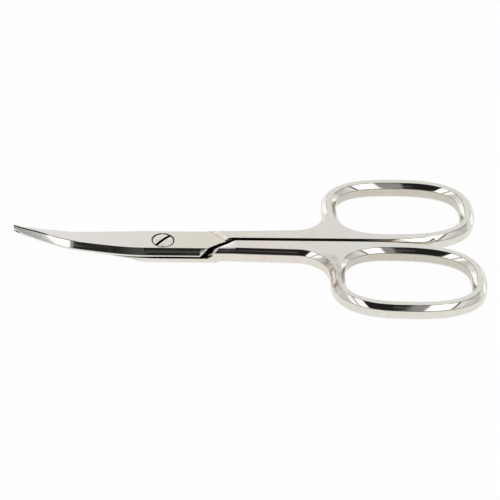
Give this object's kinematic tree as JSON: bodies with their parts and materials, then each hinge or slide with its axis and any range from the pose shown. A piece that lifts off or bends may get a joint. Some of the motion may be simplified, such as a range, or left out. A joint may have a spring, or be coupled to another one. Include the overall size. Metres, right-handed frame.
{
  "type": "nail scissors",
  "caption": "Nail scissors with curved tapering blades, oval finger rings and a slotted pivot screw that joins the two lapped steel halves.",
  "frame": {"origin": "on the pivot axis at the flush lower end of the screw, in the plane that the closed scissors lie on", "axes": "+X from the pivot to the finger rings, +Z along the pivot axis towards the screw's slotted head and the side that the tips curve to, +Y towards the upper half's ring"},
  "size_m": [0.0895, 0.0418, 0.0064],
  "materials": {
    "upper_steel": "polished nickel on forged steel",
    "lower_steel": "polished nickel on forged steel",
    "screw_steel": "turned and polished steel"
  },
  "bodies": {
    "lower_half": {"lower_half": "lower_steel", "pivot_screw": "screw_steel"},
    "upper_half": {"upper_half": "upper_steel"}
  },
  "joints": [
    {"name": "pivot", "type": "hinge", "parent": "lower_half", "child": "upper_half", "pos_m": [0, 0, 0.0015], "axis": [0, 0, 1], "range_deg": [0, 120]}
  ]
}
